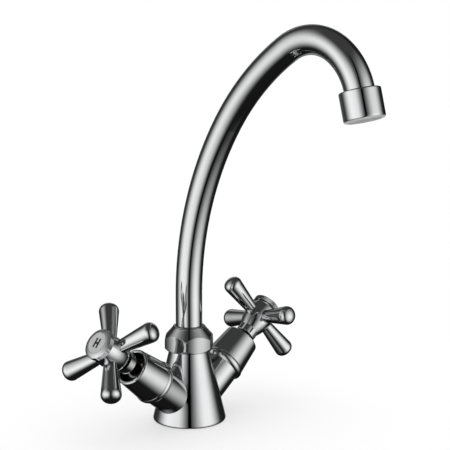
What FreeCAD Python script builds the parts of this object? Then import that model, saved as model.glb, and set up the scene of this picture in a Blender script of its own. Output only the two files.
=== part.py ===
import FreeCAD
import Part

import math
import os

# Body casting: lengths in mm, +Z up, the spout towards -Y, the hot side towards -X
base_radius = 25.0
base_edge_round = 1.2
base_rim_height = 1.8
body_top_radius = 13.84
body_height = 48.5
branch_axis_height = 8.07
branch_rise_deg = 36.27
branch_radius = 13.4
branch_length = 38.2
bead_width = 5.1
bead_radius = 15.2
bead_end_radius = 14.5
bead_peak_share = 0.6

# Spigot that carries the spout
spigot_radius = 12.0
spigot_height = 7.5
spigot_bore_radius = 10.0
spigot_bore_depth = 17.0
mixing_bore_radius = 8.5
mixing_bore_depth = 11.0

# Waterways and fixings in the underside
inlet_offset = 12.0
inlet_radius = 4.5
inlet_thread_depth = 9.0
inlet_way_radius = 3.8
seat_depth = 19.3
seat_bore_radius = 5.5
seat_bore_start_share = 0.74
chamber_radius = 10.3
passage_radius = 3.2
passage_start_share = 0.3
passage_end_share = 0.75
stud_offset = 13.0
stud_radius = 3.4
stud_depth = 14.0
gasket_inner_radius = 19.5
gasket_outer_radius = 22.5
gasket_depth = 2.0

# Fits
seam_gap = 0.05
running_gap = 0.05
moving_gap = 0.3

# Spout nut and slip ring
nut_across_flats = 31.2
nut_corner_deg = 38.5
nut_foot_radius = 15.4
nut_foot_chamfer = 2.0
nut_hex_height = 8.8
nut_cone_height = 8.2
nut_shoulder_radius = 17.73
nut_rim_radius = 11.35
nut_rim_height = 1.1
nut_rim_bulge = 0.3
nut_top_radius = 10.2
bush_height = 2.8
bush_slot_deg = 20.0

# Spout tube: a straight foot, then four bends in one plane
tube_radius = 9.1
tube_wall = 1.0
tube_straight = 20.32
bend_radii = (209.8, 161.0, 35.49, 41.39)
bend_angles_deg = (34.3, 24.77, 64.11, 42.65)
tail_flange_radius = 11.4
tail_flange_height = 2.0
tail_bore_radius = 7.0
tail_length = 15.0
socket_depth = 6.0
tail_ring_width = 2.4
tail_ring_wire_radius = 1.0
tail_ring_shares = (0.25, 0.65)

# Outlet
aerator_radius = 12.5
aerator_length = 17.15
aerator_overlap = 0.95
aerator_wall = 1.2
aerator_edge_round = 0.9
aerator_foot_round = 1.9
aerator_lip_height = 2.4
aerator_lip_radius = 9.7
ferrule_inset = 0.4
ferrule_length = 7.0
tube_in_ferrule = 6.0
aerator_gasket_height = 1.4
aerator_gasket_radius = 8.2
cell_radius = 0.85
cell_pitch = 2.35
cell_rows = 3

# Valve headwork, measured along the branch axis
headwork_thread_length = 10.0
headwork_washer_height = 1.0
headwork_washer_inner_radius = 10.4
headwork_washer_outer_radius = 11.9
headwork_across_flats = 20.4
headwork_hex_height = 5.6
headwork_neck_radius = 8.6
headwork_neck_length = 9.8
piston_room = 12.6
piston_across_flats = 12.7
piston_side_gap = 0.1

# Shroud
shroud_length = 22.2
shroud_foot_radius = 14.6
shroud_mouth_radius = 12.6
shroud_mouth_inner_radius = 10.3
shroud_bore_radius = 12.15
shroud_lip_round = 1.1
shroud_web_height = 2.0
shroud_web_rise = 8.6

# Spindle
spindle_radius = 4.54
spindle_collar_radius = 6.0
spindle_collar_height = 1.8
spindle_screw_radius = 3.5
spindle_screw_length = 8.4
spline_radius = 3.9
spline_depth = 0.4
spline_teeth = 20
spindle_tap_radius = 2.1
spindle_tap_depth = 14.0
spindle_ring_groove = 2.0
spindle_ring_wire_radius = 0.72
spindle_ring_rise = 7.0
clip_thickness = 0.8
clip_depth = 0.8
clip_outer_radius = 5.9
clip_gap_deg = 60.0

# Piston, valve washer and its screw
valve_washer_height = 2.8
valve_washer_radius = 7.2
piston_cup_height = 1.2
piston_cup_radius = 7.4
piston_length = 11.0
piston_floor = 2.6
washer_screw_head_radius = 3.0
washer_screw_head_height = 1.4
washer_screw_radius = 1.5
washer_screw_length = 5.4
washer_screw_slot_width = 0.8
washer_screw_slot_depth = 0.7

# Cross handle
handle_gap = 3.5
handle_neck_radius = 7.3
handle_neck_length = 5.6
handle_edge_round = 0.6
handle_flare_length = 6.6
handle_flare_mid_share = 0.45
handle_hub_foot_radius = 9.7
handle_hub_radius = 10.4
handle_hub_top_radius = 9.3
handle_hub_length = 15.2
handle_web_height = 2.6
handle_socket_length = 12.6
arm_height = 18.7
arm_reach = 37.3
arm_end_radius = 6.7
arm_corner_radius = 4.6
arm_dome_radius = 9.0
arm_root_radius = 4.35
arm_root_distance = 8.0
arm_count = 4
hot_phase_deg = 35.7
cold_phase_deg = -14.6

# Handle screw and index button
handle_screw_head_radius = 4.0
handle_screw_head_height = 2.8
handle_screw_radius = 2.05
handle_screw_reach = 11.0
handle_screw_key_flats = 3.0
handle_screw_key_depth = 1.6
head_side_gap = 0.3
button_spigot_radius = 7.4
button_spigot_height = 4.0
button_seam = 0.3
button_rim_radius = 10.45
button_rim_height = 3.1
button_shoulder_height = 1.3
button_shoulder_bulge = 0.25
button_face_radius = 7.3
button_groove_width = 0.35
button_groove_depth = 0.25
knurl_depth = 0.22
knurl_count = 90
mark_depth = 0.4
mark_height = 6.6
mark_width = 4.4
mark_stroke = 1.5
mark_opening_deg = 90.0
hot_mark_deg = -3.0
cold_mark_deg = 4.0

# Angles and shares that describe shapes, not sizes
full_turn_deg = 360.0
half_turn_deg = 180.0
quarter_turn_deg = 90.0
half_share = 0.5
hex_sides = 6

ORIGIN = FreeCAD.Vector(0, 0, 0)
UP = FreeCAD.Vector(0, 0, 1)
SIDEWAYS = FreeCAD.Vector(0, 1, 0)

# Heights that follow from the sizes above
spigot_top = body_height + spigot_height
bore_floor = spigot_top - spigot_bore_depth
mixing_floor = bore_floor - mixing_bore_depth
nut_foot = body_height + moving_gap
nut_shoulder = nut_foot + nut_hex_height
nut_top = nut_shoulder + nut_cone_height
flange_foot = spigot_top + running_gap
flange_top = flange_foot + tail_flange_height
bush_foot = flange_top + running_gap
bush_top = bush_foot + bush_height
tail_foot = flange_foot - tail_length
tube_foot = flange_top - socket_depth
bend_start = nut_top + tube_straight

# Distances along a branch axis
branch_end = branch_length + bead_width
seat_distance = branch_end - seat_depth
headwork_foot = branch_end - headwork_thread_length
headwork_seat = branch_end + headwork_washer_height + seam_gap * 2
headwork_shoulder = headwork_seat + headwork_hex_height
headwork_top = headwork_shoulder + headwork_neck_length
collar_top = headwork_foot + piston_room - moving_gap
collar_foot = collar_top - spindle_collar_height
shroud_foot = branch_end + seam_gap
shroud_mouth = shroud_foot + shroud_length
web_foot = shroud_foot + shroud_web_rise
handle_foot = shroud_mouth + handle_gap
hub_start = handle_foot + handle_neck_length + handle_flare_length
hub_top = hub_start + handle_hub_length
socket_top = handle_foot + handle_socket_length
spline_top = socket_top - seam_gap
clip_foot = headwork_top + moving_gap
spline_foot = clip_foot + clip_thickness + clip_depth
ring_foot = headwork_seat + spindle_ring_rise
valve_washer_foot = seat_distance + moving_gap
cup_foot = valve_washer_foot + valve_washer_height
cup_top = cup_foot + piston_cup_height
piston_top = cup_foot + piston_length
screw_seat = socket_top + handle_web_height
button_foot = hub_top + button_seam
button_rim_top = button_foot + button_rim_height
button_face = button_rim_top + button_shoulder_height


def turned(start, *steps):
    """Turn a (radius, height) outline about Z; a pair of points in the outline is an arc."""
    here = FreeCAD.Vector(start[0], 0, start[1])
    first = here
    edges = []
    for step in steps:
        if isinstance(step[0], tuple):
            middle = FreeCAD.Vector(step[0][0], 0, step[0][1])
            end = FreeCAD.Vector(step[1][0], 0, step[1][1])
            edges.append(Part.Arc(here, middle, end).toShape())
        else:
            end = FreeCAD.Vector(step[0], 0, step[1])
            edges.append(Part.makeLine(here, end))
        here = end
    edges.append(Part.makeLine(here, first))
    return Part.Face(Part.Wire(edges)).revolve(ORIGIN, UP, full_turn_deg)


def rod(radius, low, high):
    return Part.makeCylinder(radius, high - low, FreeCAD.Vector(0, 0, low), UP)


def ring(inner, outer, low, high):
    return turned((inner, low), (outer, low), (outer, high), (inner, high))


def polygon_bar(corner_radius, sides, turn_deg, low, high):
    """Upright bar with a regular outline, its first corner turned from +X."""
    points = []
    for k in range(sides + 1):
        angle = math.radians(turn_deg + full_turn_deg * k / sides)
        points.append(FreeCAD.Vector(corner_radius * math.cos(angle), corner_radius * math.sin(angle), low))
    return Part.Face(Part.makePolygon(points)).extrude(FreeCAD.Vector(0, 0, high - low))


def hex_bar(across_flats, turn_deg, low, high):
    corner = across_flats * half_share / math.cos(math.pi / hex_sides)
    return polygon_bar(corner, hex_sides, turn_deg, low, high)


def o_ring(centre_radius, wire_radius, height):
    return Part.makeTorus(centre_radius, wire_radius, FreeCAD.Vector(0, 0, height), UP)


def wedge(reach, open_deg, low, high):
    """Slice of a round bar, centred on +X, that opens a slot in a ring."""
    slice_bar = Part.makeCylinder(reach, high - low, FreeCAD.Vector(0, 0, low), UP, open_deg)
    slice_bar.rotate(ORIGIN, UP, -open_deg * half_share)
    return slice_bar


def on_branch(shape, side, turn_deg=0):
    """Stand a part made along +Z on the hot (-1) or cold (+1) branch axis."""
    placed = shape.copy()
    facing = half_turn_deg if side > 0 else 0
    placed.rotate(ORIGIN, UP, facing + turn_deg)
    placed.rotate(ORIGIN, SIDEWAYS, side * (quarter_turn_deg - branch_rise_deg))
    placed.translate(FreeCAD.Vector(0, 0, branch_axis_height))
    return placed


def branch_point(side, distance):
    rise = math.radians(branch_rise_deg)
    across = side * distance * math.cos(rise)
    return FreeCAD.Vector(across, 0, branch_axis_height + distance * math.sin(rise))


def drilled(start, end, radius):
    along = end - start
    return Part.makeCylinder(radius, along.Length, start, along)


# Body casting
def body_cone():
    lean = base_edge_round * (1 - math.sqrt(half_share))
    edge_middle = (base_radius - lean, lean)
    edge_end = (base_radius, base_edge_round)
    return turned(
        (0, 0),
        (base_radius - base_edge_round, 0),
        (edge_middle, edge_end),
        (base_radius, base_rim_height),
        (body_top_radius, body_height),
        (0, body_height),
    )


def branch_blank():
    peak = branch_length + bead_width * bead_peak_share
    return turned(
        (0, 0),
        (branch_radius, 0),
        (branch_radius, branch_length),
        ((bead_radius, peak), (bead_end_radius, branch_end)),
        (0, branch_end),
    )


def waterway(side):
    """Inlet, seat bore, valve chamber and the passage up to the mixing bore."""
    crossing = inlet_offset / math.cos(math.radians(branch_rise_deg))
    turn = branch_point(side, crossing * seat_bore_start_share)
    inlet_top = branch_axis_height + inlet_offset * math.tan(math.radians(branch_rise_deg))
    inlet = rod(inlet_radius, 0, inlet_thread_depth).fuse(rod(inlet_way_radius, 0, inlet_top))
    inlet.translate(FreeCAD.Vector(side * inlet_offset, 0, 0))
    seat_bore = drilled(turn, branch_point(side, seat_distance), seat_bore_radius)
    chamber = drilled(branch_point(side, seat_distance), branch_point(side, branch_end), chamber_radius)
    start = branch_point(side, seat_distance + headwork_thread_length * passage_start_share)
    end = FreeCAD.Vector(0, 0, mixing_floor + mixing_bore_depth * passage_end_share)
    return [inlet, seat_bore, chamber, drilled(start, end, passage_radius)]


def body_casting():
    body = body_cone().fuse([on_branch(branch_blank(), -1), on_branch(branch_blank(), 1)])
    body = body.fuse(rod(spigot_radius, body_height, spigot_top))
    foot = Part.makeBox(base_radius * 4, base_radius * 4, base_radius)
    foot.translate(FreeCAD.Vector(-base_radius * 2, -base_radius * 2, -base_radius))
    cuts = [foot]
    cuts.append(rod(spigot_bore_radius, bore_floor, spigot_top))
    cuts.append(rod(mixing_bore_radius, mixing_floor, bore_floor))
    cuts += waterway(-1) + waterway(1)
    cuts.append(ring(gasket_inner_radius, gasket_outer_radius, 0, gasket_depth))
    for side in (-1, 1):
        stud = rod(stud_radius, 0, stud_depth)
        stud.translate(FreeCAD.Vector(0, side * stud_offset, 0))
        cuts.append(stud)
    return body.cut(cuts).removeSplitter()


def base_gasket():
    inner = gasket_inner_radius + seam_gap
    outer = gasket_outer_radius - seam_gap
    return ring(inner, outer, 0, gasket_depth - seam_gap)


# Spout nut and slip ring
def spout_nut():
    blank = hex_bar(nut_across_flats, nut_corner_deg, nut_foot, nut_top)
    bulge = nut_rim_bulge * math.sqrt(half_share)
    rim_foot = nut_top - nut_rim_height
    rim_across = (nut_rim_radius + nut_top_radius) * half_share + bulge
    rim_up = (rim_foot + nut_top) * half_share + bulge
    envelope = turned(
        (0, nut_foot),
        (nut_foot_radius, nut_foot),
        (nut_foot_radius + nut_foot_chamfer, nut_foot + nut_foot_chamfer),
        (nut_foot_radius + nut_foot_chamfer * 2, nut_foot + nut_foot_chamfer * 2),
        (nut_shoulder_radius, nut_shoulder),
        (nut_rim_radius, rim_foot),
        ((rim_across, rim_up), (nut_top_radius, nut_top)),
        (0, nut_top),
    )
    thread = rod(spigot_radius + seam_gap, nut_foot, bush_top + seam_gap)
    opening = rod(tube_radius + moving_gap, nut_foot, nut_top)
    return blank.common(envelope).cut([thread, opening])


def spout_bush():
    bush = ring(tube_radius + running_gap, spigot_radius - seam_gap, bush_foot, bush_top)
    return bush.cut(wedge(nut_across_flats, bush_slot_deg, bush_foot, bush_top))


# Spout tube
def spout_bends():
    """Edges of the centre line, its end point and its end heading from +Z towards -Y."""
    here = FreeCAD.Vector(0, 0, bend_start)
    edges = [Part.makeLine(FreeCAD.Vector(0, 0, tube_foot), here)]
    heading = 0
    for radius, angle_deg in zip(bend_radii, bend_angles_deg):
        centre = here + FreeCAD.Vector(0, -math.cos(heading), -math.sin(heading)) * radius
        angle = math.radians(angle_deg)
        stops = []
        for share in (half_share, 1):
            turn = heading + angle * share
            stops.append(centre + FreeCAD.Vector(0, math.cos(turn), math.sin(turn)) * radius)
        edges.append(Part.Arc(here, stops[0], stops[1]).toShape())
        here = stops[1]
        heading += angle
    return edges, here, heading


def outlet_direction(heading):
    return FreeCAD.Vector(0, -math.sin(heading), math.cos(heading))


def on_outlet(shape):
    """Stand a part made along +Z on the outlet, pointing the way the water leaves."""
    edges, end, heading = spout_bends()
    placed = shape.copy()
    placed.rotate(ORIGIN, FreeCAD.Vector(1, 0, 0), math.degrees(heading))
    placed.translate(end)
    return placed


def swept(radius):
    edges, end, heading = spout_bends()
    last = end + outlet_direction(heading) * tube_in_ferrule
    path = Part.Wire(edges + [Part.makeLine(end, last)])
    start = FreeCAD.Vector(0, 0, tube_foot)
    section = Part.Wire(Part.makeCircle(radius, start, UP))
    return path.makePipeShell([section], True, False)


def spout_tube():
    return swept(tube_radius).cut(swept(tube_radius - tube_wall))


def tail_ring_heights():
    solid_length = tube_foot - tail_foot
    return [tail_foot + solid_length * share for share in tail_ring_shares]


def tail_radius():
    return spigot_bore_radius - running_gap


def ring_seat_radius():
    return tail_radius() - tail_ring_wire_radius * 2


def spout_tail():
    tail = rod(tail_radius(), tail_foot, flange_foot)
    tail = tail.fuse(rod(tail_flange_radius, flange_foot, flange_top))
    cuts = [rod(tail_bore_radius, tail_foot, tube_foot), rod(tube_radius + seam_gap, tube_foot, flange_top)]
    for height in tail_ring_heights():
        low = height - tail_ring_width * half_share
        cuts.append(ring(ring_seat_radius(), spigot_bore_radius, low, low + tail_ring_width))
    return tail.cut(cuts)


def spout_o_rings():
    centre = ring_seat_radius() + tail_ring_wire_radius
    rings = [o_ring(centre, tail_ring_wire_radius, height) for height in tail_ring_heights()]
    return Part.makeCompound(rings)


# Outlet
def housing_bore():
    return aerator_radius - aerator_wall


def outlet_ferrule():
    low = ferrule_inset - aerator_overlap
    high = ferrule_inset + ferrule_length
    return ring(tube_radius + seam_gap, housing_bore() - seam_gap, low, high)


def aerator_housing():
    edge = aerator_edge_round
    lean = edge * (1 - math.sqrt(half_share))
    low_edge = aerator_foot_round
    low_lean = low_edge * (1 - math.sqrt(half_share))
    outer = aerator_radius
    foot = -aerator_overlap
    lip = aerator_length - aerator_lip_height
    return turned(
        (housing_bore(), foot),
        (outer - edge, foot),
        ((outer - lean, foot + lean), (outer, foot + edge)),
        (outer, aerator_length - low_edge),
        ((outer - low_lean, aerator_length - low_lean), (outer - low_edge, aerator_length)),
        (aerator_lip_radius, aerator_length),
        (aerator_lip_radius, lip),
        (housing_bore(), lip),
    )


def gasket_foot():
    return ferrule_inset + ferrule_length + seam_gap


def aerator_gasket():
    low = gasket_foot()
    return ring(aerator_gasket_radius, housing_bore() - seam_gap, low, low + aerator_gasket_height)


def aerator_insert():
    """Plastic disc with rows of round cells on a triangular grid."""
    low = gasket_foot() + aerator_gasket_height + seam_gap
    high = aerator_length - aerator_lip_height - seam_gap
    disc = rod(housing_bore() - seam_gap, low, high)
    cells = []
    for a in range(-cell_rows, cell_rows + 1):
        for b in range(-cell_rows, cell_rows + 1):
            if abs(a + b) <= cell_rows:
                cell = rod(cell_radius, low, high)
                across = cell_pitch * (a + b * half_share)
                aside = cell_pitch * b * math.sqrt(1 - half_share ** 2)
                cell.translate(FreeCAD.Vector(across, aside, 0))
                cells.append(cell)
    return disc.cut(cells)


# Valve headwork
def headwork():
    bonnet = rod(chamber_radius - seam_gap, headwork_foot, headwork_seat)
    bonnet = bonnet.fuse(hex_bar(headwork_across_flats, 0, headwork_seat, headwork_shoulder))
    bonnet = bonnet.fuse(rod(headwork_neck_radius, headwork_shoulder, headwork_top))
    room_flats = piston_across_flats + piston_side_gap * 2
    room = hex_bar(room_flats, 0, headwork_foot, headwork_foot + piston_room)
    return bonnet.cut([room, rod(spindle_radius + running_gap, headwork_foot, headwork_top)])


def headwork_washer():
    low = branch_end + seam_gap
    high = low + headwork_washer_height
    return ring(headwork_washer_inner_radius, headwork_washer_outer_radius, low, high)


def shroud():
    web_top = web_foot + shroud_web_height
    edge = shroud_lip_round
    lean = edge * (1 - math.sqrt(half_share))
    outer = shroud_mouth_radius
    inner = shroud_mouth_inner_radius
    mouth = shroud_mouth
    hole = headwork_neck_radius + seam_gap
    return turned(
        (shroud_bore_radius, shroud_foot),
        (shroud_foot_radius, shroud_foot),
        (outer, mouth - edge),
        ((outer - lean, mouth - lean), (outer - edge, mouth)),
        (inner + edge * half_share, mouth),
        (inner, mouth - edge * half_share),
        (inner, web_top),
        (hole, web_top),
        (hole, web_foot),
        (shroud_bore_radius, web_foot),
    )


# Spindle
def splined_bar():
    points = []
    for k in range(spline_teeth * 2 + 1):
        angle = math.pi * k / spline_teeth
        reach = spline_radius - spline_depth * (k % 2)
        points.append(FreeCAD.Vector(reach * math.cos(angle), reach * math.sin(angle), spline_foot))
    return Part.Face(Part.makePolygon(points)).extrude(FreeCAD.Vector(0, 0, spline_top - spline_foot))


def spindle():
    clip_seat = spline_radius - clip_depth
    ring_seat = spindle_radius - spindle_ring_wire_radius * 2
    bar = turned(
        (0, collar_foot - spindle_screw_length),
        (spindle_screw_radius, collar_foot - spindle_screw_length),
        (spindle_screw_radius, collar_foot),
        (spindle_collar_radius, collar_foot),
        (spindle_collar_radius, collar_top),
        (spindle_radius, collar_top),
        (spindle_radius, ring_foot),
        (ring_seat, ring_foot),
        (ring_seat, ring_foot + spindle_ring_groove),
        (spindle_radius, ring_foot + spindle_ring_groove),
        (spindle_radius, clip_foot - seam_gap),
        (clip_seat, clip_foot - seam_gap),
        (clip_seat, clip_foot + clip_thickness + seam_gap),
        (spindle_radius, clip_foot + clip_thickness + seam_gap),
        (spindle_radius, spline_foot),
        (0, spline_foot),
    )
    return bar.fuse(splined_bar()).cut(rod(spindle_tap_radius, spline_top - spindle_tap_depth, spline_top))


def spindle_o_ring():
    centre = spindle_radius - spindle_ring_wire_radius
    return o_ring(centre, spindle_ring_wire_radius, ring_foot + spindle_ring_groove * half_share)


def spindle_clip():
    clip_top = clip_foot + clip_thickness
    clip = ring(spline_radius - clip_depth + seam_gap, clip_outer_radius, clip_foot, clip_top)
    return clip.cut(wedge(clip_outer_radius * 2, clip_gap_deg, clip_foot, clip_top))


# Piston
def piston():
    bar = rod(piston_cup_radius, cup_foot, cup_top)
    bar = bar.fuse(hex_bar(piston_across_flats, 0, cup_top, piston_top))
    tap = rod(washer_screw_radius + seam_gap, cup_foot, cup_foot + piston_floor)
    screw_room = rod(spindle_screw_radius + running_gap, cup_top + piston_floor, piston_top)
    return bar.cut([tap, screw_room])


def valve_washer():
    return ring(washer_screw_radius + seam_gap, valve_washer_radius, valve_washer_foot, cup_foot - seam_gap)


def washer_screw():
    head_top = valve_washer_foot - seam_gap
    head_foot = head_top - washer_screw_head_height
    screw = rod(washer_screw_head_radius, head_foot, head_top)
    screw = screw.fuse(rod(washer_screw_radius, head_top, head_foot + washer_screw_length))
    length = washer_screw_head_radius * 2
    slot = Part.makeBox(length, washer_screw_slot_width, washer_screw_slot_depth)
    slot.translate(FreeCAD.Vector(-length * half_share, -washer_screw_slot_width * half_share, head_foot))
    return screw.cut(slot)


# Cross handle
def hub_blank():
    flare_foot = handle_foot + handle_neck_length
    middle_height = flare_foot + handle_flare_length * handle_flare_mid_share
    middle_radius = (handle_neck_radius + handle_hub_foot_radius) * half_share
    edge = handle_edge_round
    lean = edge * (1 - math.sqrt(half_share))
    neck = handle_neck_radius
    top = handle_hub_top_radius
    widest = (handle_hub_radius, (hub_start + hub_top) * half_share)
    return turned(
        (0, handle_foot),
        (neck - edge, handle_foot),
        ((neck - lean, handle_foot + lean), (neck, handle_foot + edge)),
        (neck, flare_foot),
        ((middle_radius, middle_height), (handle_hub_foot_radius, hub_start)),
        (widest, (top, hub_top - edge)),
        ((top - lean, hub_top - lean), (top - edge, hub_top)),
        (0, hub_top),
    )


def unit(across, along):
    length = math.hypot(across, along)
    return across / length, along / length


def on_arc(centre, radius, direction):
    return centre[0] + radius * direction[0], centre[1] + radius * direction[1]


def arm_blank():
    """Cone from the root to a rounded end, made along +Z: it touches a corner arc, and that the dome."""
    dome_centre = (0, arm_reach - arm_dome_radius)
    inset = arm_end_radius - arm_corner_radius
    rise = math.sqrt((arm_dome_radius - arm_corner_radius) ** 2 - inset ** 2)
    corner_centre = (inset, dome_centre[1] + rise)
    across = corner_centre[0] - arm_root_radius
    along = corner_centre[1] - arm_root_distance
    lean = math.atan2(across, along) + math.asin(arm_corner_radius / math.hypot(across, along))
    cone_side = (math.cos(lean), -math.sin(lean))
    dome_side = unit(inset, rise)
    corner_side = unit(cone_side[0] + dome_side[0], cone_side[1] + dome_side[1])
    top_side = unit(dome_side[0], dome_side[1] + 1)
    dome_edge = on_arc(dome_centre, arm_dome_radius, dome_side)
    corner = (on_arc(corner_centre, arm_corner_radius, corner_side), dome_edge)
    dome = (on_arc(dome_centre, arm_dome_radius, top_side), (0, arm_reach))
    touch = on_arc(corner_centre, arm_corner_radius, cone_side)
    return turned((0, 0), (arm_root_radius, 0), (arm_root_radius, arm_root_distance), touch, corner, dome)


def handle():
    arms = []
    for k in range(arm_count):
        arm = arm_blank()
        arm.rotate(ORIGIN, SIDEWAYS, quarter_turn_deg)
        arm.rotate(ORIGIN, UP, full_turn_deg * k / arm_count)
        arm.translate(FreeCAD.Vector(0, 0, handle_foot + arm_height))
        arms.append(arm)
    cross = hub_blank().fuse(arms)
    socket = rod(spline_radius + seam_gap, handle_foot, socket_top)
    screw_hole = rod(handle_screw_radius + head_side_gap, socket_top, screw_seat)
    head_room = rod(handle_screw_head_radius + head_side_gap, screw_seat, hub_top)
    button_room = rod(button_spigot_radius + seam_gap, hub_top - button_spigot_height, hub_top)
    return cross.cut([socket, screw_hole, head_room, button_room])


def handle_screw():
    head_foot = screw_seat + seam_gap
    head_top = head_foot + handle_screw_head_height
    screw = rod(handle_screw_head_radius, head_foot, head_top)
    screw = screw.fuse(rod(handle_screw_radius, head_foot - handle_screw_reach, head_foot))
    return screw.cut(hex_bar(handle_screw_key_flats, 0, head_top - handle_screw_key_depth, head_top))


# Index button and its mark
def knurled_bar(low, high):
    points = []
    for k in range(knurl_count * 2 + 1):
        angle = math.pi * k / knurl_count
        reach = button_rim_radius - knurl_depth * (k % 2)
        points.append(FreeCAD.Vector(reach * math.cos(angle), reach * math.sin(angle), low))
    return Part.Face(Part.makePolygon(points)).extrude(FreeCAD.Vector(0, 0, high - low))


def letter_bar(width, height, across, aside, low, high):
    bar = Part.makeBox(width, height, high - low)
    bar.translate(FreeCAD.Vector(across - width * half_share, aside - height * half_share, low))
    return bar


def hot_letter(low, high):
    """Letter H with its top towards +Y."""
    post = (mark_width - mark_stroke) * half_share
    left = letter_bar(mark_stroke, mark_height, -post, 0, low, high)
    right = letter_bar(mark_stroke, mark_height, post, 0, low, high)
    bridge = letter_bar(mark_width - mark_stroke, mark_stroke, 0, 0, low, high)
    return left.fuse([right, bridge]).removeSplitter()


def cold_letter(low, high):
    """Letter C with its top towards +Y."""
    outer = mark_height * half_share
    loop = ring(outer - mark_stroke, outer, low, high)
    return loop.cut(wedge(mark_height, mark_opening_deg, low, high))


def index_mark(letter, trim):
    return letter(button_face - mark_depth + trim, button_face)


def index_button(letter):
    groove_inner = button_face_radius - button_groove_width
    groove_floor = button_face - button_groove_depth
    bulge = button_shoulder_bulge * math.sqrt(half_share)
    middle_radius = (button_rim_radius + button_face_radius) * half_share + bulge
    middle_height = (button_rim_top + button_face) * half_share + bulge
    envelope = turned(
        (0, button_foot),
        (button_rim_radius, button_foot),
        (button_rim_radius, button_rim_top),
        ((middle_radius, middle_height), (button_face_radius, button_face)),
        (button_face_radius, groove_floor),
        (groove_inner, groove_floor),
        (groove_inner, button_face),
        (0, button_face),
    )
    button = knurled_bar(button_foot, button_face).common(envelope)
    spigot = ring(handle_screw_head_radius + head_side_gap, button_spigot_radius,
                  hub_top - button_spigot_height + seam_gap, button_foot)
    return button.fuse(spigot).cut(index_mark(letter, 0))


# Write every piece to its own file
def spout_parts():
    return {
        "body_casting": body_casting(),
        "base_gasket": base_gasket(),
        "spout_nut": spout_nut(),
        "spout_bush": spout_bush(),
        "spout_tube": spout_tube(),
        "spout_tail": spout_tail(),
        "spout_o_rings": spout_o_rings(),
        "outlet_ferrule": on_outlet(outlet_ferrule()),
        "aerator_housing": on_outlet(aerator_housing()),
        "aerator_gasket": on_outlet(aerator_gasket()),
        "aerator_insert": on_outlet(aerator_insert()),
    }


def valve_parts(name, side, phase_deg, mark_deg, letter):
    """All pieces of one valve; at rest the letter stands upright."""
    letter_deg = mark_deg - quarter_turn_deg
    fixed = {
        "headwork": headwork(),
        "headwork_washer": headwork_washer(),
        "shroud": shroud(),
        "piston": piston(),
        "valve_washer": valve_washer(),
        "washer_screw": washer_screw(),
        "spindle": spindle(),
        "spindle_o_ring": spindle_o_ring(),
        "spindle_clip": spindle_clip(),
        "handle_screw": handle_screw(),
    }
    parts = {name + "_" + key: on_branch(shape, side) for key, shape in fixed.items()}
    parts[name + "_handle"] = on_branch(handle(), side, phase_deg)
    parts[name + "_index_button"] = on_branch(index_button(letter), side, letter_deg)
    parts[name + "_index_mark"] = on_branch(index_mark(letter, seam_gap), side, letter_deg)
    return parts


def main():
    os.makedirs("parts", exist_ok=True)
    parts = spout_parts()
    parts.update(valve_parts("hot", -1, hot_phase_deg, hot_mark_deg, hot_letter))
    parts.update(valve_parts("cold", 1, cold_phase_deg, cold_mark_deg, cold_letter))
    for node, shape in parts.items():
        shape.exportStep("parts/" + node + ".step")


main()
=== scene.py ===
# %% [markdown]
# # A two-handle mixer tap in polished chrome
# The object is a deck-mounted tap: a cone-shaped body, two sloping valves with cross handles, and a tall
# bent spout that ends in an aerator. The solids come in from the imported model, already in place and in
# metres. Their shapes are right, so their meshes are left alone. This lesson gives them what solids lack:
# a room to reflect, a finish for every piece, and the screw threads under the base.

# %% Load the frame
import math

import bpy
import numpy as np
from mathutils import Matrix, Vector


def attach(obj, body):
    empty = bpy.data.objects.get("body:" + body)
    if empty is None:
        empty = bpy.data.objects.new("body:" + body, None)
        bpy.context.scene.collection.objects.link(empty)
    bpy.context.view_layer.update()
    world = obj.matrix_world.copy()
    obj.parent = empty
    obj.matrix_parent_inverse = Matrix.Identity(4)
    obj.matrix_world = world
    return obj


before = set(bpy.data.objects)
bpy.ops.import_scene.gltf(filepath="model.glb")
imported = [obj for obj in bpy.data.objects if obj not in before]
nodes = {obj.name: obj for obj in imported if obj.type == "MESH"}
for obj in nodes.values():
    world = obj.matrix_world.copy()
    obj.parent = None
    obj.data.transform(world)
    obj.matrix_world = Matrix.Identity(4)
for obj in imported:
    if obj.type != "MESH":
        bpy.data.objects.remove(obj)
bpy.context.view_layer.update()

scene = bpy.context.scene
MM = 0.001
print("nodes:", len(nodes))

# %% [markdown]
# ## The camera
# A photograph is matched by finding where the camera stood. Here the tap was seen from the front left, a
# little above, through a long lens, and the values were fitted to the outlines of the base, the spout and
# the handles. A Track To constraint could aim the camera, but it looks slightly past the point that it
# was moved round, so its own turn is given apart from its place. The Standard view transform keeps white
# white, as a product photograph does.

# %% Camera
aim = Vector((0.0, 0.0, 150 * MM))
camera_azimuth_deg, camera_elevation_deg, camera_distance = -44.33, 6.94, 758.78 * MM
look_azimuth_deg, look_elevation_deg = -46.20, 8.08
focal_px, picture_px, sensor_mm = 1125.81, 450, 36.0
far_limit = 20.0


def direction(azimuth_deg, elevation_deg):
    """Unit vector towards a camera at that azimuth (0 in front, on -Y) and elevation."""
    a, e = math.radians(azimuth_deg), math.radians(elevation_deg)
    return Vector((math.sin(a) * math.cos(e), -math.cos(a) * math.cos(e), math.sin(e)))


camera = bpy.data.objects.new("camera", bpy.data.cameras.new("camera"))
scene.collection.objects.link(camera)
camera.location = aim + direction(camera_azimuth_deg, camera_elevation_deg) * camera_distance
camera.rotation_mode = "QUATERNION"
look = -direction(look_azimuth_deg, look_elevation_deg)
camera.rotation_quaternion = look.to_track_quat("-Z", "Y")
camera.data.sensor_width = sensor_mm
camera.data.lens = focal_px / picture_px * sensor_mm
camera.data.clip_end = far_limit
scene.camera = camera
scene.view_settings.view_transform = "Standard"
print("lens in mm:", round(camera.data.lens, 2))

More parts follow.
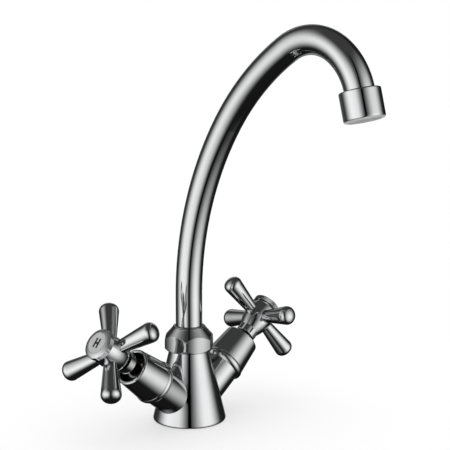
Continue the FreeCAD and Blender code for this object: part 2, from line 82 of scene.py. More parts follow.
# %% [markdown]
# ## The room that the chrome shows
# Chrome has no colour of its own: what it shows is the room. Real lamps and cards could stand round the
# tap, but their reflections are hard to place to the degree, so the room is made in the world shader. Its
# nodes could be drawn by hand in the Shader Editor, but so many are easier to read as sums. Two helpers
# start that: one makes a node, and the other links or sets a socket. The room is turned so that its front
# is the photograph's side.

# %% Empty room
def put(tree, kind, **values):
    """A new node with its properties set."""
    node = tree.nodes.new(kind)
    for name, value in values.items():
        setattr(node, name, value)
    return node


def feed(tree, socket, source):
    """Links a socket, or sets it when the source is a plain number or colour."""
    if isinstance(source, bpy.types.NodeSocket):
        tree.links.new(source, socket)
    else:
        socket.default_value = source


world = bpy.data.worlds.new("studio")
scene.world = world
world.use_nodes = True
room = world.node_tree
room.nodes.clear()
turned_ray = put(room, "ShaderNodeVectorRotate", rotation_type="Z_AXIS")
turned_ray.inputs["Angle"].default_value = -math.radians(look_azimuth_deg)
feed(room, turned_ray.inputs["Vector"], put(room, "ShaderNodeTexCoord").outputs["Generated"])
print(world.name, "front at azimuth:", look_azimuth_deg)

# %% [markdown]
# A place in the room is two angles, as on a globe: azimuth to the right of the photograph's side, and
# elevation above the horizon. A panorama picture would hide them in its pixels. Math nodes give them in
# degrees instead: the arctangent of right over front, and the arcsine of up.

# %% Directions in the room
def calc(tree, operation, a, b=0.0):
    """One step of arithmetic on numbers."""
    node = put(tree, "ShaderNodeMath", operation=operation)
    feed(tree, node.inputs[0], a)
    feed(tree, node.inputs[1], b)
    return node.outputs[0]


ray = put(room, "ShaderNodeSeparateXYZ")
feed(room, ray.inputs[0], turned_ray.outputs[0])
to_right, to_back, to_top = ray.outputs
to_front = calc(room, "MULTIPLY", to_back, -1.0)
azimuth = calc(room, "DEGREES", calc(room, "ARCTAN2", to_right, to_front))
elevation = calc(room, "DEGREES", calc(room, "ARCSINE", to_top))
print("nodes for the two angles:", len(room.nodes))

# %% [markdown]
# The room itself is dark. Its walls and ceiling are barely lit, its corner behind on the right is darker
# still, and below the tap there is almost nothing, which leaves the undersides of the spout and the valves
# nearly black. Modelled walls would need lamps of their own, so each is only a level that changes over a
# smooth ramp of degrees.

# %% Dark walls
def ramp(tree, value, low, high, out_low=0.0, out_high=1.0):
    """Smooth step of a value from low to high; low may be above high."""
    node = put(tree, "ShaderNodeMapRange", interpolation_type="SMOOTHSTEP")
    for socket, source in zip(node.inputs, (value, low, high, out_low, out_high)):
        feed(tree, socket, source)
    return node.outputs[0]


def product(tree, first, *others):
    """Numbers multiplied together."""
    for other in others:
        first = calc(tree, "MULTIPLY", first, other)
    return first


def total(tree, first, *others):
    """Numbers added together."""
    for other in others:
        first = calc(tree, "ADD", first, other)
    return first


below_level, wall_level, corner_level, ceiling_level = 0.009, 0.036, 0.010, 0.036
corner_start, ceiling_start, floor_fade = (95.0, 130.0), (40.0, 65.0), (-45.0, 0.0)
walls = ramp(room, azimuth, *corner_start, wall_level, corner_level)
ceiling = ramp(room, elevation, *ceiling_start, 0.0, ceiling_level)
upper_room = calc(room, "MAXIMUM", walls, ceiling)
glow = total(room, product(room, upper_room, ramp(room, elevation, *floor_fade)), below_level)
print("levels of walls, corner, ceiling:", wall_level, corner_level, ceiling_level)

# %% [markdown]
# One large soft light stands on each side of the camera. An area light would have hard edges in a mirror,
# so each light fades over tens of degrees, and each of its edges is a pair: where it is dark and where it
# is bright. The outer edges lean and the left light's top slopes, as lights that aren't quite upright do.

# %% Two soft lights
def leaning(value, other, share):
    """A value in degrees with a share of another one taken off, so that an edge leans."""
    return calc(room, "SUBTRACT", value, product(room, other, share))


def soft_light(level, outer, outer_lean, inner, bottom, top, top_slope, middle):
    """Level of a light: its outer edge leans with elevation, its top slopes from a middle azimuth."""
    outer_edge = ramp(room, leaning(azimuth, elevation, outer_lean), *outer)
    sides = product(room, outer_edge, ramp(room, azimuth, *inner))
    from_middle = calc(room, "SUBTRACT", azimuth, middle)
    top_edge = ramp(room, leaning(elevation, from_middle, top_slope), *top)
    ends = product(room, ramp(room, elevation, *bottom), top_edge)
    return product(room, sides, ends, level)


left_light = dict(level=0.95, outer=(-124, -66), outer_lean=-0.25, inner=(2, -37),
                  bottom=(-65, -5), top=(60, -4), top_slope=-0.22, middle=-50)
right_light = dict(level=0.95, outer=(119, 67), outer_lean=0.10, inner=(3, 56),
                   bottom=(-66, -4), top=(68, -1), top_slope=0.0, middle=50)
for light in (left_light, right_light):
    glow = total(room, glow, soft_light(**light))
print("lights at azimuths:", left_light["middle"], right_light["middle"])

# %% [markdown]
# A narrow dark gap between the lights draws the black line down the middle of every upright surface. A
# thin black card could do it, but here it is one more factor, which darkens what lies within a few
# degrees. It ends above and below, so that the line doesn't run over tops and undersides.

# %% Dark gap
gap_azimuth, gap_edges = 2.2, (3.0, 7.5)
gap_top, gap_bottom = (50.0, 66.0), (-45.0, -60.0)
from_gap = calc(room, "ABSOLUTE", calc(room, "SUBTRACT", azimuth, gap_azimuth))
gap_ends = calc(room, "MAXIMUM", ramp(room, elevation, *gap_top), ramp(room, elevation, *gap_bottom))
glow = product(room, glow, calc(room, "MAXIMUM", ramp(room, from_gap, *gap_edges), gap_ends))
print("gap at azimuth:", gap_azimuth, "half width in degrees:", gap_edges)

# %% [markdown]
# Behind the tap the room is white, like the paper roll of a product studio, and that gives the bright
# rims along the edges of the tube. A real roll would have to be metres wide, so this too is a soft window
# of angles.

# %% White backdrop
backdrop_level, backdrop_middle = 0.50, 3.0
backdrop_side, backdrop_bottom, backdrop_top = (145, 174), (-40, -28), (38, 30)
behind = calc(room, "ABSOLUTE", calc(room, "SUBTRACT", azimuth, backdrop_middle))
backdrop_ends = product(room, ramp(room, elevation, *backdrop_bottom),
                        ramp(room, elevation, *backdrop_top))
backdrop = product(room, ramp(room, behind, *backdrop_side), backdrop_ends, backdrop_level)
glow = total(room, glow, backdrop)
print("backdrop level:", backdrop_level)

# %% [markdown]
# Mirrors see that room. The picture's ground and the light on matt surfaces are plain white instead. A
# white sheet behind the tap could be the ground, but only as seen from one side, so the Light Path node
# chooses between the two by the kind of ray.

# %% Ground of the picture
def blend_value(tree, amount, first, second):
    """The first number where the amount is 0, the second where it is 1."""
    node = put(tree, "ShaderNodeMix", data_type="FLOAT")
    for index, source in ((0, amount), (2, first), (3, second)):
        feed(tree, node.inputs[index], source)
    return node.outputs[0]


white = (1.0, 1.0, 1.0, 1.0)
path = put(room, "ShaderNodeLightPath")
plain_ray = calc(room, "MAXIMUM", path.outputs["Is Camera Ray"], path.outputs["Is Diffuse Ray"])
background = put(room, "ShaderNodeBackground")
background.inputs["Color"].default_value = white
feed(room, background.inputs["Strength"], blend_value(room, plain_ray, glow, 1.0))
feed(room, put(room, "ShaderNodeOutputWorld").inputs["Surface"], background.outputs[0])
print("nodes in the room:", len(room.nodes))

# %% [markdown]
# ## The floor
# The tap stands on a plain pale floor. Blender's own plane would do, but one function that makes a mesh
# from a grid of points serves the floor here and the threads later. The floor lies a fifth of a
# millimetre under the base, so that the two faces don't fight. Mirrors don't see it, because the room
# already says what is below the tap.

# %% Floor
def grid_mesh(name, points, close_columns=False, cap_ends=False):
    """Mesh from a grid of points, an array of rows by columns by three. A face joins each point to its
    neighbours in the next row and column; close_columns joins the last column to the first, and cap_ends
    puts one face over the first row and one over the last."""
    rows, columns = points.shape[:2]
    joined = columns if close_columns else columns - 1
    row, column = np.meshgrid(np.arange(rows - 1), np.arange(joined), indexing="ij")
    start, after = row * columns, (column + 1) % columns
    corners = [start + column, start + columns + column, start + columns + after, start + after]
    faces = np.stack(corners, axis=-1).reshape(-1, 4).tolist()
    if cap_ends:
        ring = np.arange(columns)
        faces += [ring.tolist(), (ring[::-1] + (rows - 1) * columns).tolist()]
    mesh = bpy.data.meshes.new(name)
    mesh.from_pydata(points.reshape(-1, 3).tolist(), [], faces)
    return mesh


floor_half, floor_drop = 6.0, 0.2 * MM
steps = np.array([-floor_half, floor_half])
across, along = np.meshgrid(steps, steps, indexing="ij")
floor_points = np.stack([across, along, np.full_like(across, -floor_drop)], axis=-1)
floor = bpy.data.objects.new("floor", grid_mesh("floor", floor_points))
scene.collection.objects.link(floor)
floor.visible_glossy = False
print("floor width in m:", 2 * floor_half)

# %% [markdown]
# The floor is matt and glows a little, so that it runs into the white ground and the shadow stays faint.
# A stronger lamp would whiten it too, but would also deepen the shadow.

# %% Floor finish
floor_look = {"Base Color": (0.50, 0.50, 0.50, 1.0), "Emission Color": white, "Emission Strength": 0.48,
              "Roughness": 0.9, "Specular IOR Level": 0.0}
pale = bpy.data.materials.new("floor_white")
pale.use_nodes = True
for label, value in floor_look.items():
    pale.node_tree.nodes["Principled BSDF"].inputs[label].default_value = value
floor.data.materials.append(pale)
print(pale.name, "glow:", floor_look["Emission Strength"])

# %% [markdown]
# One very wide lamp lights the floor from above and leaves a soft shadow round the base. An area light
# would do it near the tap, but a sun with a large angle is as soft as an overcast sky and even all over.

# %% Lamp over the floor
lamp_energy, lamp_angle_deg, lamp_tilt_deg = 0.35, 90, (-18, 12, 0)
sky_lamp = bpy.data.lights.new("floor_lamp", "SUN")
sky_lamp.energy = lamp_energy
sky_lamp.angle = math.radians(lamp_angle_deg)
lamp_holder = bpy.data.objects.new("floor_lamp", sky_lamp)
scene.collection.objects.link(lamp_holder)
lamp_holder.rotation_euler = [math.radians(tilt) for tilt in lamp_tilt_deg]
lamp_holder.visible_glossy = False
print("lamp energy:", lamp_energy)

# %% [markdown]
# ## Where a point is on a turned piece
# Most of this tap was turned on a lathe or sits in a bore, so its finishes follow an axis: tool rings run
# round it, and plating stops at the mouth of a bore. A UV map could carry that, but the solids have none.
# So a node group works out how far along an axis and how far from it a point lies, from Object
# coordinates, which are the tap's own frame because every piece sits at the origin.

# %% Group: about an axis
def new_group(name, inputs, outputs):
    """Shader node group with named sockets; gives its tree, its input node and its output node."""
    group = bpy.data.node_groups.new(name, "ShaderNodeTree")
    for label, kind, value in inputs:
        socket = group.interface.new_socket(label, in_out="INPUT", socket_type=kind)
        socket.default_value = value
    for label, kind in outputs:
        group.interface.new_socket(label, in_out="OUTPUT", socket_type=kind)
    return group, group.nodes.new("NodeGroupInput"), group.nodes.new("NodeGroupOutput")


origin, upright = (0.0, 0.0, 0.0), (0.0, 0.0, 1.0)


def vector_calc(tree, operation, a, b=origin, out="Vector"):
    """One step of arithmetic on vectors."""
    node = put(tree, "ShaderNodeVectorMath", operation=operation)
    feed(tree, node.inputs[0], a)
    feed(tree, node.inputs[1], b)
    return node.outputs[out]


NUMBER, VECTOR = "NodeSocketFloat", "NodeSocketVector"
axis_group, inside, outside = new_group(
    "about_axis",
    [("Place", VECTOR, origin), ("Point", VECTOR, origin), ("Direction", VECTOR, upright)],
    [("Along", NUMBER), ("Radius", NUMBER)],
)
offset = vector_calc(axis_group, "SUBTRACT", inside.outputs["Place"], inside.outputs["Point"])
reach = vector_calc(axis_group, "DOT_PRODUCT", offset, inside.outputs["Direction"], "Value")
distance = vector_calc(axis_group, "LENGTH", offset, out="Value")
square = calc(axis_group, "SUBTRACT", product(axis_group, distance, distance),
              product(axis_group, reach, reach))
radius = calc(axis_group, "SQRT", calc(axis_group, "MAXIMUM", square, 0.0))
feed(axis_group, outside.inputs["Along"], reach)
feed(axis_group, outside.inputs["Radius"], radius)
print(axis_group.name, "nodes:", len(axis_group.nodes))

# %% [markdown]
# ## Marks that handling leaves
# Even a polished tap isn't perfect. Fingers leave faint smears, and wiping leaves hair-fine scratches.
# These could be painted on an image, but an image needs a UV map and shows its pixels close up. One group
# makes the marks from noise for every plated piece. The amounts are its inputs, so that a handle can be
# more smudged than the spout.

# %% Group: smears and scratches
def noise(tree, place, scale, detail=2.0, roughness=0.5):
    """Soft noise between 0 and 1; scale is in features per metre."""
    node = put(tree, "ShaderNodeTexNoise")
    feed(tree, node.inputs["Vector"], place)
    for label, value in (("Scale", scale), ("Detail", detail), ("Roughness", roughness)):
        feed(tree, node.inputs[label], value)
    return node.outputs["Fac"]


polish_group, inside, outside = new_group(
    "polish_marks",
    [("Place", VECTOR, origin), ("Polish", NUMBER, 0.05), ("Smudge", NUMBER, 0.5), ("Spots", NUMBER, 0.5)],
    [("Roughness", NUMBER), ("Height", NUMBER), ("Film", NUMBER)],
)
place = inside.outputs["Place"]
smear_scale, smear_edges = 70.0, (0.50, 0.74)
hair_scale, hair_edges, hair_stretch = 2600.0, (0.35, 0.75), (1.0, 1.0, 0.12)
smear_noise = noise(polish_group, place, smear_scale, detail=4.0, roughness=0.62)
smears = product(polish_group, ramp(polish_group, smear_noise, *smear_edges), inside.outputs["Smudge"])
hair_place = vector_calc(polish_group, "MULTIPLY", place, hair_stretch)
hair = ramp(polish_group, noise(polish_group, hair_place, hair_scale), *hair_edges)
print(polish_group.name, "smears per metre:", smear_scale, "scratches per metre:", hair_scale)

# %% [markdown]
# Hard water dries into small rings: mineral at the edge of the drop and clean metal inside. Modelled drops
# would be too heavy for so faint a mark. A texture of cells gives the drops' centres, a slow noise says
# how large each drop is, and two ramps cut out its ring.

# %% Group: dried drops
drop_scale, drop_reach, tiny = 85.0, 0.22, 0.001
patch_scale, patch_edges = 31.0, (0.46, 0.62)
ring_inner, ring_outer = (0.62, 0.92), (1.0, 0.92)
drops = put(polish_group, "ShaderNodeTexVoronoi", feature="F1")
feed(polish_group, drops.inputs["Vector"], place)
drops.inputs["Scale"].default_value = drop_scale
drop_size = ramp(polish_group, noise(polish_group, place, patch_scale), *patch_edges, 0.0, drop_reach)
ring_in = calc(polish_group, "DIVIDE", drops.outputs["Distance"], total(polish_group, drop_size, tiny))
rings = product(polish_group, ramp(polish_group, ring_in, *ring_inner),
                ramp(polish_group, ring_in, *ring_outer), inside.outputs["Spots"])
print("cells for drops per metre:", drop_scale)

# %% [markdown]
# Each mark changes the plate in its own way. Smears and rings dull it and leave a film, scratches dull it
# a little, and buffing has left it very slightly wavy. The group could put out a finished shader, but the
# materials need the values apart, so it gives a roughness, a height for the bump, and the film.

# %% Group: what the marks change
smear_film, smear_rough, ring_rough, hair_rough = 0.5, 0.07, 0.10, 0.015
wave_scale, hair_height = 48.0, 0.004
film = total(polish_group, product(polish_group, smears, smear_film), rings)
rough = total(polish_group, inside.outputs["Polish"], product(polish_group, smears, smear_rough),
              product(polish_group, rings, ring_rough), product(polish_group, hair, hair_rough))
waves = noise(polish_group, place, wave_scale, detail=1.0)
height = total(polish_group, waves, product(polish_group, hair, hair_height))
feed(polish_group, outside.inputs["Roughness"], rough)
feed(polish_group, outside.inputs["Height"], height)
feed(polish_group, outside.inputs["Film"], calc(polish_group, "MINIMUM", film, 1.0))
print(polish_group.name, "nodes:", len(polish_group.nodes))

# %% [markdown]
# ## Finishes
# Every finish starts from the standard shader and Object coordinates, and ends with a bump. The solids'
# sharp edges could be rounded with a Bevel modifier, but their meshes are left alone. A Bevel node bends
# the shading there instead, and the edges catch the light as plated edges do.

# %% Blank finish and its bump
def blank(name):
    """New material; gives the material, its tree, its shader and Object coordinates."""
    material = bpy.data.materials.new(name)
    material.use_nodes = True
    tree = material.node_tree
    coordinates = put(tree, "ShaderNodeTexCoord").outputs["Object"]
    return material, tree, tree.nodes["Principled BSDF"], coordinates


edge_samples = 6


def add_bump(tree, shader, height, depth, edge=0.0):
    """Bump of a height between 0 and 1 and a depth in metres, over edges rounded by edge metres."""
    bump = put(tree, "ShaderNodeBump")
    bump.inputs["Strength"].default_value = 1.0
    bump.inputs["Distance"].default_value = depth
    feed(tree, bump.inputs["Height"], height)
    if edge:
        bevel = put(tree, "ShaderNodeBevel", samples=edge_samples)
        bevel.inputs["Radius"].default_value = edge
        feed(tree, bump.inputs["Normal"], bevel.outputs[0])
    feed(tree, shader.inputs["Normal"], bump.outputs[0])


print("samples of a rounded edge:", edge_samples)

# %% [markdown]
# Chrome plate is a neutral grey metal, a little duller under a film. The shader would make it white at a
# grazing angle, as clean metal is, but plating on a cast piece never looks so there. The edge tint, which
# goes to the shader's Specular Tint, darkens it. Where there is no plate, the metal is raw brass. The
# near-black brass is painted shade: its colour stands for the shade in the hollows of the shrouds and
# valves.

# %% Colours of the plate
def blend_colour(tree, amount, first, second):
    """The first colour where the amount is 0, the second where it is 1."""
    node = put(tree, "ShaderNodeMix", data_type="RGBA")
    for index, source in ((0, amount), (6, first), (7, second)):
        feed(tree, node.inputs[index], source)
    return node.outputs[2]


def shade(colour, share):
    """A colour made darker, its alpha kept."""
    return [channel * share for channel in colour[:3]] + [1.0]


plate_colour, plate_film = (0.86, 0.865, 0.87, 1.0), (0.74, 0.75, 0.755, 1.0)
edge_tint, satin = (0.30, 0.30, 0.31, 1.0), (0.80, 0.80, 0.80, 1.0)
# The second brass here is near-black: painted shade for the hollows inside the shrouds and valves.
raw_brass, painted_shade_brass = (0.62, 0.46, 0.22, 1.0), (0.035, 0.03, 0.026, 1.0)
print("plate:", plate_colour[:3], "under a film:", plate_film[:3])

# %% [markdown]
# The spout nut was buffed by hand, and buffing rounds a flat a little towards its corners. Bending the
# solid's flats would spoil the hexagon, so the nut's material has a crown instead: a height that falls
# with the distance from the tap's axis. The conical top needs less of it than the upright flats, and the
# normal in object space says which of the two a point is on.

# %% Buffed crown
def place_group(tree, group, **values):
    """A group placed in a tree with its inputs linked or set; gives its outputs."""
    node = put(tree, "ShaderNodeGroup", node_tree=group)
    for label, value in values.items():
        feed(tree, node.inputs[label], value)
    return node.outputs


flat_to_top = (0.2, 0.5)


def crowned(tree, place, height, depth, on_flats, on_top):
    """A height less a slope times the distance from the upright axis; the slope is metres per metre."""
    at = place_group(tree, axis_group, Place=place, Point=origin, Direction=upright)
    facing = put(tree, "ShaderNodeSeparateXYZ")
    feed(tree, facing.inputs[0], put(tree, "ShaderNodeTexCoord").outputs["Normal"])
    fall = ramp(tree, facing.outputs[2], *flat_to_top, on_flats / depth, on_top / depth)
    return calc(tree, "SUBTRACT", height, product(tree, at["Radius"], fall))


print("crown changes where the normal's height is:", flat_to_top)

# %% [markdown]
# Plated pieces share one recipe: the plate's colours, the polish marks, and waves so slight that only the
# reflections show them. A piece with unplated places, or with painted shade in a hollow, could have two
# materials, but the border would then follow its faces, so a mask by place blends the second colour in.

# %% Plated metal
wave_depth, mottle_scale, mottle_shade = 0.05 * MM, 320.0, 0.7


def plated(name, smudge=0.4, spots=0.3, polish=0.05, edge=0.25 * MM, tone=1.0, crown=None,
           raw_and_shade=None, raw_and_shade_colour=raw_brass, raw_rough=0.42, raw_metal=1.0):
    """Chrome plate; crown is a slope for flats and one for the top. The mask argument is a function of the
    tree and the coordinates; where it is 1 the second colour is blended in: unplated metal, a satin face or
    lip, or painted shade inside a shroud."""
    material, tree, shader, place = blank(name)
    marks = place_group(tree, polish_group, Place=place, Polish=polish, Smudge=smudge, Spots=spots)
    colour = blend_colour(tree, marks["Film"], shade(plate_colour, tone), shade(plate_film, tone))
    rough, height = marks["Roughness"], marks["Height"]
    shader.inputs["Metallic"].default_value = 1.0
    shader.inputs["Specular Tint"].default_value = edge_tint
    if raw_and_shade:
        # For a shroud this blends in painted shade: a near-black colour inside the bell.
        mask, mottle = raw_and_shade(tree, place), noise(tree, place, mottle_scale, detail=3.0)
        raw_and_shade_tone = blend_colour(tree, mottle, raw_and_shade_colour, shade(raw_and_shade_colour, mottle_shade))
        colour = blend_colour(tree, mask, colour, raw_and_shade_tone)
        rough = blend_value(tree, mask, rough, raw_rough)
        if raw_metal < 1.0:
            feed(tree, shader.inputs["Metallic"], blend_value(tree, mask, 1.0, raw_metal))
    if crown:
        height = crowned(tree, place, height, wave_depth, *crown)
    feed(tree, shader.inputs["Base Color"], colour)
    feed(tree, shader.inputs["Roughness"], rough)
    add_bump(tree, shader, height, wave_depth, edge)
    return material


print("depth of the waves in mm:", round(wave_depth / MM, 3))

# %% [markdown]
# The first pieces are plated all over. The handles are touched most, so they have the most smears. The
# ferrule at the outlet has the most dried drops, and the nut is duller and softer than the rest, because
# a spanner has turned it. One material could serve them all, but then they would all look equally used.

# %% Pieces plated all over
side_signs = {"hot": -1, "cold": 1}
finishes = {
    "spout_tube": plated("tube_chrome", smudge=0.25, spots=0.35, edge=0.0),
    "spout_nut": plated("nut_chrome", smudge=0.6, spots=0.4, polish=0.10, edge=0.8 * MM, tone=0.8,
                        crown=(0.8, 0.3)),
    "outlet_ferrule": plated("ferrule_chrome", smudge=0.3, spots=0.8, polish=0.14, tone=0.8),
}
for side in side_signs:
    finishes[f"{side}_handle"] = plated(f"{side}_handle_chrome", smudge=0.7, spots=0.3, edge=0.3 * MM)
print("plated all over:", ", ".join(finishes))

# %% [markdown]
# The shrouds are bells round the valves. Inside each bell the colour is near-black brass, painted shade for
# the hollow that the lights hardly reach. The faces inside could be picked one by one, but a mask that
# follows the valve's axis finds them by place. Both valves rise from one point on the tap's upright axis.

# %% Shrouds
valve_rise = math.radians(36.27)
valve_foot = (0.0, 0.0, 8.07 * MM)
valve_axes = {side: (sign * math.cos(valve_rise), 0.0, math.sin(valve_rise))
              for side, sign in side_signs.items()}
bell_radius, bell_span = 11.4 * MM, (40 * MM, 64.9 * MM)


def bore_mask(axis, radius, low, high, soft=0.05 * MM, point=valve_foot):
    """Mask that is 1 inside a radius of an axis, between two distances along it from its point."""
    def mask(tree, place):
        at = place_group(tree, axis_group, Place=place, Point=point, Direction=axis)
        near = ramp(tree, at["Radius"], radius + soft, radius - soft)
        after_low = ramp(tree, at["Along"], low - soft, low + soft)
        before_high = ramp(tree, at["Along"], high + soft, high - soft)
        return product(tree, near, product(tree, after_low, before_high))
    return mask


for side, axis in valve_axes.items():
    # The mask marks the inside of the bell, which is coloured near-black as painted shade.
    bell = bore_mask(axis, bell_radius, *bell_span)
    finishes[f"{side}_shroud"] = plated(f"{side}_shroud_chrome", spots=0.4, raw_and_shade=bell,
                                        raw_and_shade_colour=painted_shade_brass, raw_rough=0.6)
    print(side, "valve axis:", [round(v, 3) for v in axis])

# %% [markdown]
# The face of each index button is brushed satin, so that its letter can be read in any light, and a
# little of the brushing runs over onto the shoulder round it. A ring cut into the solid could part the
# two, but the real change is only in the polish, so it is two masks on the valve's axis.

# %% Index buttons
face_radius, face_span = 7.0 * MM, (101.0 * MM, 102.0 * MM)
shoulder_radius, shoulder_span = 10.3 * MM, (99.9 * MM, 102.0 * MM)
shoulder_soft, shoulder_share = 0.2 * MM, 0.2


def button_face(axis):
    """Mask of the satin face of a button, and a fifth of it on the shoulder round the face."""
    face = bore_mask(axis, face_radius, *face_span)
    shoulder = bore_mask(axis, shoulder_radius, *shoulder_span, shoulder_soft)

    def mask(tree, place):
        part = product(tree, shoulder(tree, place), shoulder_share)
        return calc(tree, "MAXIMUM", face(tree, place), part)
    return mask


for side, axis in valve_axes.items():
    finishes[f"{side}_index_button"] = plated(
        f"{side}_button_chrome", smudge=0.5, polish=0.08, edge=0.12 * MM,
        raw_and_shade=button_face(axis), raw_and_shade_colour=satin, raw_rough=0.32, raw_metal=0.45)
print("satin face across in mm:", round(2 * face_radius / MM, 1))

# %% [markdown]
# Water dries on the outlet's lip every day, and lime has dulled its lower face and the wall inside it. A
# crust of lime could be modelled, but this is only a bloom on the metal. The outlet's axis leans forward
# as the end of the spout does.

# %% Outlet
outlet_turn = math.radians(165.83)
outlet_end = (0.0, -141.88 * MM, 226.48 * MM)
outlet_axis = (0.0, -math.sin(outlet_turn), math.cos(outlet_turn))
lip_radius, lip_span, lip_soft = 13.0 * MM, (16.3 * MM, 18.0 * MM), 0.3 * MM
mouth_radius, mouth_span, mouth_soft = 10.2 * MM, (14.0 * MM, 18.0 * MM), 0.1 * MM


def outlet_lip(tree, place):
    """Mask of the lip at the outlet, dulled by lime: its lower face and the wall inside it."""
    face = bore_mask(outlet_axis, lip_radius, *lip_span, lip_soft, outlet_end)
    mouth = bore_mask(outlet_axis, mouth_radius, *mouth_span, mouth_soft, outlet_end)
    return calc(tree, "MAXIMUM", face(tree, place), mouth(tree, place))


finishes["aerator_housing"] = plated("outlet_chrome", smudge=0.3, spots=0.8, raw_and_shade=outlet_lip,
                                     raw_and_shade_colour=satin, raw_rough=0.4, raw_metal=0.3)
print("outlet axis:", [round(v, 3) for v in outlet_axis])

# %% [markdown]
# The casting is plated outside only. Its underside, its tapped holes, the valve chambers and the spigot
# under the nut are raw brass. Six holes could have six masks, but the casting is the same on both sides,
# so the mask takes the coordinates without their signs and needs each kind of hole once.

# %% Casting
underside, spigot_start, hole_end = (0.15 * MM, 0.05 * MM), (48.45 * MM, 48.52 * MM), (20 * MM, 19 * MM)
inlet_out, stud_out = 12 * MM, 13 * MM
chamber_radius, inlet_radius, stud_radius = 10.4 * MM, 4.6 * MM, 3.5 * MM
hole_soft = 0.05 * MM


def body_raw(tree, place):
    """Unplated metal of the casting: its underside, its tapped holes, the valve bores and the spigot."""
    unsigned = vector_calc(tree, "ABSOLUTE", place)
    split = put(tree, "ShaderNodeSeparateXYZ")
    feed(tree, split.inputs[0], place)
    height = split.outputs[2]
    mask = calc(tree, "MAXIMUM", ramp(tree, height, *underside), ramp(tree, height, *spigot_start))
    low_down = ramp(tree, height, *hole_end)
    holes = ((valve_foot, valve_axes["cold"], chamber_radius, 1.0),
             ((inlet_out, 0, 0), upright, inlet_radius, low_down),
             ((0, stud_out, 0), upright, stud_radius, low_down))
    for point, axis, radius, limit in holes:
        at = place_group(tree, axis_group, Place=unsigned, Point=point, Direction=axis)
        near = ramp(tree, at["Radius"], radius + hole_soft, radius - hole_soft)
        mask = calc(tree, "MAXIMUM", mask, product(tree, near, limit))
    return mask


finishes["body_casting"] = plated("body_chrome", smudge=0.35, spots=0.5, raw_and_shade=body_raw)
print("plated pieces:", len(finishes))

# %% [markdown]
# ## Turned metal
# Turned brass has fine rings that the tool left, and it tarnishes unevenly. An anisotropic shader could
# fake the rings, but they are real grooves, so they are a bump: a sine of the distance along the axis, a
# fifth of a millimetre apart, over a fine grain. The tail of the spout is turned about the upright axis.

# %% Turned metal
ring_pitch, ring_share, groove_depth, groove_edge = 0.22 * MM, 0.3, 0.01 * MM, 0.1 * MM
stain_scale, stain_edges, stain_rough, metal_grain = 160.0, (0.42, 0.68), 0.16, 900.0


def turned_metal(name, axis, point, colour, tarnish, rough):
    """Bare metal from the lathe: stained by noise, with rings along an axis through a point."""
    material, tree, shader, place = blank(name)
    at = place_group(tree, axis_group, Place=place, Point=point, Direction=axis)
    grooves = calc(tree, "SINE", product(tree, at["Along"], 2 * math.pi / ring_pitch))
    stain = ramp(tree, noise(tree, place, stain_scale, detail=4.0, roughness=0.6), *stain_edges)
    feed(tree, shader.inputs["Base Color"], blend_colour(tree, stain, colour, tarnish))
    feed(tree, shader.inputs["Roughness"], blend_value(tree, stain, rough, rough + stain_rough))
    shader.inputs["Metallic"].default_value = 1.0
    grain = noise(tree, place, metal_grain, detail=3.0)
    height = total(tree, product(tree, grooves, ring_share), grain)
    add_bump(tree, shader, height, groove_depth, groove_edge)
    return material


brass, brass_stain = (0.70, 0.52, 0.25, 1.0), (0.45, 0.31, 0.14, 1.0)
finishes["spout_tail"] = turned_metal("tail_brass", upright, origin, brass, brass_stain, rough=0.26)
print("rings per mm:", round(MM / ring_pitch, 1))

# %% [markdown]
# Inside each valve are a bonnet and spindle, a brass piston with its screw, and two pieces of bright steel.
# The bonnet and spindle are near-black, painted shade for the hollow of the shroud that they sit in. Both
# valves could share three materials, but the rings run round each valve's own axis, so every piece gets its
# own.

# %% Metal inside the valves
steel, steel_stain = (0.60, 0.61, 0.62, 1.0), (0.48, 0.48, 0.48, 1.0)
# Stains on the near-black brass, whose colour is painted shade.
painted_shade_stain = shade(painted_shade_brass, 0.6)
valve_metals = (
    # pieces of one valve, word for the metal, its colour, its stain and its roughness
    # the bonnet and spindle: near-black painted shade of the hollow
    (("headwork", "spindle"), "dark", painted_shade_brass, painted_shade_stain, 0.5),
    (("piston", "washer_screw"), "brass", brass, brass_stain, 0.28),
    (("spindle_clip", "handle_screw"), "steel", steel, steel_stain, 0.3),
)
for side, axis in valve_axes.items():
    for parts, metal, colour, stain, rough in valve_metals:
        for name in (f"{side}_{part}" for part in parts):
            finishes[name] = turned_metal(f"{name}_{metal}", axis, valve_foot, colour, stain, rough)
print("metal pieces:", len(finishes))

# %% [markdown]
# ## Rubber, plastic, fibre and enamel
# The soft and moulded pieces are hardly seen, but they are there when the tap is taken apart: black rubber
# with a little bloom, grey plastic with a moulded grain, red fibre washers, and the dark enamel of the
# letters. Four recipes would nearly repeat each other, so one takes their values: a mottled colour and a
# fine grain.

# %% Moulded finish
cloud_scale, cloud_edges, cloud_rough = 140.0, (0.45, 0.75), 0.12


def moulded(name, colour, bloom, rough, grain, depth, specular):
    """Rubber, plastic, fibre or enamel: a colour clouded with a bloom, and a grain per metre."""
    material, tree, shader, place = blank(name)
    cloud = ramp(tree, noise(tree, place, cloud_scale, detail=4.0, roughness=0.6), *cloud_edges)
    feed(tree, shader.inputs["Base Color"], blend_colour(tree, cloud, (*colour, 1.0), (*bloom, 1.0)))
    feed(tree, shader.inputs["Roughness"], blend_value(tree, cloud, rough, rough + cloud_rough))
    shader.inputs["Specular IOR Level"].default_value = specular
    add_bump(tree, shader, noise(tree, place, grain, detail=3.0), depth)
    return material


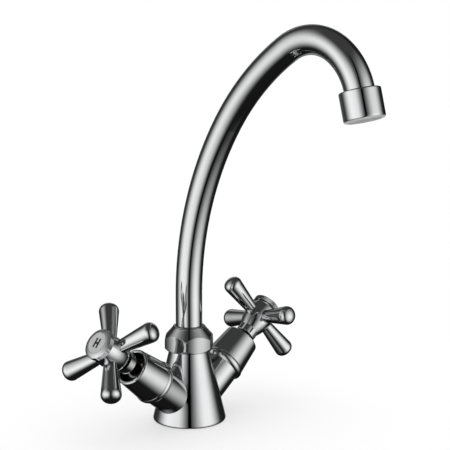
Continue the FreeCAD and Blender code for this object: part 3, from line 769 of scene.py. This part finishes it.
rubber = moulded("black_rubber", (0.018, 0.018, 0.019), (0.045, 0.045, 0.046),
                 rough=0.55, grain=2200.0, depth=0.02 * MM, specular=0.35)
plastic = moulded("grey_plastic", (0.20, 0.20, 0.20), (0.16, 0.16, 0.16),
                  rough=0.42, grain=1800.0, depth=0.012 * MM, specular=0.5)
fibre = moulded("red_fibre", (0.32, 0.10, 0.06), (0.22, 0.07, 0.045),
                rough=0.75, grain=2600.0, depth=0.03 * MM, specular=0.3)
enamel = moulded("letter_enamel", (0.012, 0.012, 0.014), (0.03, 0.03, 0.032),
                 rough=0.22, grain=1500.0, depth=0.006 * MM, specular=0.5)
print("moulded finishes:", ", ".join(finish.name for finish in (rubber, plastic, fibre, enamel)))

# %% [markdown]
# Many of these pieces come twice, once in each valve. A list could name every one, but the ends of their
# names already say what they are made of.

# %% Moulded pieces
moulded_ends = {rubber: ("o_ring", "o_rings", "gasket", "valve_washer"), plastic: ("bush", "insert"),
                fibre: ("headwork_washer",), enamel: ("mark",)}
for finish, ends in moulded_ends.items():
    takers = [name for name in nodes if name.endswith(ends)]
    finishes.update(dict.fromkeys(takers, finish))
    print(finish.name, "on pieces:", len(takers))

# %% [markdown]
# ## Threads under the base
# Two hoses screw into the inlets and two studs hold the tap to the deck, so four holes under the base are
# tapped. The solids have plain holes at the thread's inner size. A Screw modifier could turn a triangle
# round an axis, but it can't fade the ends. So the thread is worked out as a grid: a small profile carried
# round a helix, with crests that stand out of the wall and fade over the first and last half turn, as a
# thread cutter leaves them.

# %% Thread surface
fade_turns, least_crest, turn_steps = 0.5, 0.02, 48
profile_across = np.array([0.0, 0.42, 0.08, -0.08, -0.42])
profile_inward = np.array([-0.30, -0.06, 1.0, 1.0, -0.06])


def thread_grid(centre, radius, depth, pitch, low, high):
    """Helix of a thread: at turn t the profile's middle is at height low + pitch * t, and each of its
    points lies its share of the depth inside the radius and its share of the pitch above the middle."""
    count = (high - low) / pitch
    turns = np.linspace(0.0, count, int(count * turn_steps) + 1)
    fade = np.clip(np.minimum(turns, turns[-1] - turns) / fade_turns, least_crest, 1.0)
    reach = radius - np.outer(fade, profile_inward) * depth
    height = low + pitch * turns[:, None] + profile_across[None, :] * pitch
    angle = 2 * np.pi * turns[:, None]
    return np.stack([centre[0] + reach * np.cos(angle), centre[1] + reach * np.sin(angle), height], axis=-1)


inlet_thread = dict(radius=4.5 * MM, depth=0.30 * MM, pitch=1.0 * MM, low=0.7 * MM, high=8.3 * MM)
stud_thread = dict(radius=3.4 * MM, depth=0.35 * MM, pitch=1.25 * MM, low=0.8 * MM, high=13.0 * MM)
for label, sizes in (("inlet", inlet_thread), ("stud", stud_thread)):
    print(label, "thread turns:", round((sizes["high"] - sizes["low"]) / sizes["pitch"], 2))

# %% [markdown]
# Each thread is its own piece and moves with the body of the tap. It could be joined to the casting, but
# that mesh stays as it came. The threads are raw brass, as the holes are.

# %% Threads in the holes
thread_holes = {
    "hot_inlet_thread": ((-inlet_out, 0.0), inlet_thread),
    "cold_inlet_thread": ((inlet_out, 0.0), inlet_thread),
    "front_stud_thread": ((0.0, -stud_out), stud_thread),
    "back_stud_thread": ((0.0, stud_out), stud_thread),
}
thread_brass = turned_metal("thread_brass", upright, origin, brass, brass_stain, rough=0.3)
for name, (centre, sizes) in thread_holes.items():
    mesh = grid_mesh(name, thread_grid(centre, **sizes), close_columns=True, cap_ends=True)
    piece = bpy.data.objects.new(name, mesh)
    scene.collection.objects.link(piece)
    piece.data.materials.append(thread_brass)
    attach(piece, "tap_body")
    print(name, "faces:", len(mesh.polygons))

# %% [markdown]
# ## Putting it together
# Every solid takes its finish in place of the plain one that it came with. The new finish could be added
# in a second slot, but the faces would still point at the first, so the slots are emptied first.

# %% Put the finishes on
for name, piece in nodes.items():
    piece.data.materials.clear()
    piece.data.materials.append(finishes[name])
print("finished nodes:", len(nodes), "of", len(finishes))
